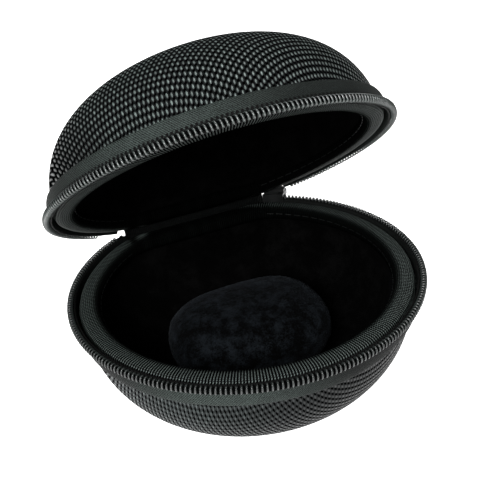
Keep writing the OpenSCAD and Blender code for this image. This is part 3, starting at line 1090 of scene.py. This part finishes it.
@dataclass
class ClothHinge:
    """Woven strip glued over the back of both halves, with a fold where the lid turns."""

    half_width: float = 25.4
    fold_at: float = 1.1
    fold_reach: float = 0.7
    fold_length: float = 2.1
    below_band: float = 0.6
    weave_row: float = 0.9
    radius: float = 52.02
    thick: float = 0.7
    columns: int = 72
    rows: int = 10
    fold_rows: int = 8

    def rim(self, x: Array) -> Array:
        """How far back the strip lies at each x."""
        round_y = np.sqrt(self.radius ** 2 - x ** 2)
        return soft_min(round_y, np.full_like(x, HINGE.y / MM + 0.05), 0.8)

    def build(self) -> None:
        """Builds the strip in its open pose, with its fold between the halves."""
        total = 2 * self.rows + self.fold_rows
        piece, column, row = grid_piece("cloth_hinge", self.columns, total)
        x = (column / self.columns * 2 - 1) * self.half_width
        y = self.rim(x)
        opened = math.radians(OPEN_ANGLE)
        hinge_y, hinge_z = HINGE.y / MM, HINGE.z / MM

        def base_leaf(depth: Array) -> tuple[Array, Array]:
            return y, hinge_z - depth

        def lid_leaf(depth: Array) -> tuple[Array, Array]:
            dy = y - hinge_y
            return (hinge_y + dy * math.cos(opened) + depth * math.sin(opened),
                    hinge_z - dy * math.sin(opened) + depth * math.cos(opened))

        low = np.clip(row / self.rows, 0, 1)
        high = np.clip((row - self.rows - self.fold_rows) / self.rows, 0, 1)
        middle = np.clip((row - self.rows) / self.fold_rows, 0, 1)
        base_span, lid_span = [SECTION.band(side) + self.below_band - self.fold_at
                               for side in Side]
        y0, z0 = base_leaf(self.fold_at + base_span * (1 - low))
        y1, z1 = lid_leaf(self.fold_at + lid_span * high)
        reach = self.fold_reach
        handles = ((y0, y0, y1 - reach * math.sin(opened), y1),
                   (z0, z0 + reach, z1 - reach * math.cos(opened), z1))
        in_fold = (row > self.rows) & (row < self.rows + self.fold_rows)
        yy, zz = [np.where(in_fold, curve(*points, middle),
                           np.where(row <= self.rows, points[0], points[3]))
                  for points in handles]
        set_uv(piece, np.stack([x, row * self.weave_row], 1))
        set_vertices(piece, np.stack([x, yy, zz], 1) * MM)
        start_edit(piece)
        bpy.ops.mesh.normals_make_consistent(inside=False)
        end_edit()
        add_modifier(piece, "SOLIDIFY", thickness=mm(self.thick), offset=0.0, use_rim=True)
        smooth(piece)
        WARDROBE.dress(piece, Finish.HINGE_WEAVE)
        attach(piece, "base")
        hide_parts("hinge_panel", "lid_hinge_flap")
        piece.parent = None
        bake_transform(piece)


@dataclass
class Pillow:
    """Watch pillow: a soft foam block in a velvet cover, swollen by a cloth simulation."""

    start_scale: float = 0.95
    voxel_mm: float = 4.5
    pressure: float = 4.0
    most_move_mm: float = 2.2
    frames: int = 20
    cuts: int = 15
    powers: tuple[float, float, float] = (3.2, 2.6, 2.7)
    mean_power: float = 2.8

    def build(self) -> None:
        """Shapes the pillow, swells it and lays it on the floor of the lower half."""
        low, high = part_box("pillow_cover")
        middle = (low + high) / 2
        half = (high - low) / 2
        piece = new_piece("velvet_pillow", bpy.ops.mesh.primitive_cube_add, size=2.0)
        start_edit(piece)
        bpy.ops.mesh.subdivide(number_cuts=self.cuts)
        end_edit()
        co = vertices_of(piece)
        grip = np.max(np.abs(co), axis=1)
        size = (np.abs(co) ** np.array(self.powers)).sum(axis=1) ** (1 / self.mean_power)
        co = co * (grip / np.maximum(size, 1e-6))[:, None]
        co = co * self.start_scale * np.array(half) + np.array(middle)
        set_vertices(piece, co)
        self.swell(piece)
        add_modifier(piece, "SUBSURF", levels=1, render_levels=1)
        smooth(piece)
        finish_piece(piece, Finish.PILLOW, "base", "pillow_velvet", "pillow_cover", "pillow_core")

    def swell(self, piece: Piece) -> None:
        """Inflates the cover with air, holding each point near its start."""
        add_modifier(piece, "REMESH", mode="VOXEL", voxel_size=mm(self.voxel_mm))
        start = vertices_of(piece)
        cloth = piece.modifiers.new("cloth", "CLOTH")
        cloth.settings.use_pressure = True
        cloth.settings.uniform_pressure_force = self.pressure
        cloth.settings.effector_weights.gravity = 0.0
        cloth.settings.quality = 6
        scene = bpy.context.scene
        for number in range(1, self.frames + 1):
            scene.frame_set(number)
        pick(piece)
        bpy.ops.object.modifier_apply(modifier=cloth.name)
        scene.frame_set(1)
        moved = vertices_of(piece) - start
        length = np.linalg.norm(moved, axis=1)
        share = np.minimum(1, mm(self.most_move_mm) / np.maximum(length, 1e-9))
        set_vertices(piece, start + moved * share[:, None])
        log.info("pillow: moved up to %.2f mm", length.max() / MM)


def dress_plain_nodes() -> None:
    """Dresses the CAD parts that stay as they are."""
    plain = {
        Finish.THREAD: ("base_binding_stitching", "lid_binding_stitching",
                        "hinge_panel_stitching", "lid_hinge_stitching"),
        Finish.ENAMEL: ("base_end_stops", "lid_end_stops", "slider_body", "slider_bridge",
                        "pull_tab")}
    for finish, names in plain.items():
        for name in names:
            WARDROBE.dress(bpy.data.objects[name], finish)


# ---- Studio ----

@dataclass
class Studio:
    """Floor, lights and camera."""

    azimuth: float = -18.80
    elevation: float = 29.18
    distance_mm: float = 257.8
    aim_mm: tuple[float, float, float] = (-0.33, 0.0, 51.07)
    roll: float = -6.37
    focal_px: float = 866.3
    image_px: int = 480
    sensor_mm: float = 36.0
    light_aim_mm: tuple[float, float, float] = (0, 0, 45)
    sky: float = 0.1
    floor_m: float = 3.0

    def place_camera(self) -> None:
        """Puts the camera at its angle around the case and makes it the scene's own."""
        azimuth, elevation = math.radians(self.azimuth), math.radians(self.elevation)
        back = Vector((math.sin(azimuth) * math.cos(elevation),
                       -math.cos(azimuth) * math.cos(elevation), math.sin(elevation)))
        aim = Vector(self.aim_mm) * MM
        data = bpy.data.cameras.new("studio_camera")
        data.sensor_width = self.sensor_mm
        data.lens = self.focal_px * self.sensor_mm / self.image_px
        data.clip_start = 0.01
        camera = bpy.data.objects.new("studio_camera", data)
        bpy.context.scene.collection.objects.link(camera)
        facing = (-back).to_track_quat("-Z", "Y").to_matrix().to_4x4()
        tilt = Matrix.Rotation(math.radians(self.roll), 4, "Z")
        camera.matrix_world = Matrix.Translation(aim + back * self.distance_mm * MM) @ facing @ tilt
        bpy.context.scene.camera = camera

    def lay_floor(self) -> None:
        """Lays the wide white table under the case."""
        floor = new_piece("studio_floor", bpy.ops.mesh.primitive_plane_add,
                          size=self.floor_m)
        WARDROBE.dress(floor, Finish.TABLE)

    def hang_light(self, name: str, place_mm: tuple, size_mm: float, watts: float) -> None:
        """Hangs a square soft light that faces the case."""
        data = bpy.data.lights.new(name, "AREA")
        data.size = mm(size_mm)
        data.energy = watts
        light = bpy.data.objects.new(name, data)
        bpy.context.scene.collection.objects.link(light)
        light.location = Vector(place_mm) * MM
        toward = (Vector(self.light_aim_mm) - Vector(place_mm)).normalized()
        light.rotation_euler = toward.to_track_quat("-Z", "Y").to_euler()

    def light(self) -> None:
        """Hangs the lights and sets the pale surroundings."""
        self.hang_light("key_softbox", (-330, -450, 400), 240, 10)
        self.hang_light("top_softbox", (60, 60, 620), 300, 3)
        self.hang_light("right_fill", (420, -60, 420), 260, 0.8)
        world = bpy.data.worlds.new("pale_studio")
        world.use_nodes = True
        background = world.node_tree.nodes["Background"]
        background.inputs[0].default_value = linear("#ffffff")
        background.inputs[1].default_value = self.sky
        bpy.context.scene.world = world
        bpy.context.scene.view_settings.view_transform = "Standard"


def main() -> None:
    """Builds the studio and every piece of the case."""
    studio = Studio()
    studio.place_camera()
    for side in Side:
        half = ShellHalf(side)
        half.build_shells()
        half.build_binding()
        half.build_tape()
        half.build_coil()
        half.build_cord()
    ClothHinge().build()
    Pillow().build()
    dress_plain_nodes()
    studio.lay_floor()
    studio.light()


if __name__ == "__main__":
    main()
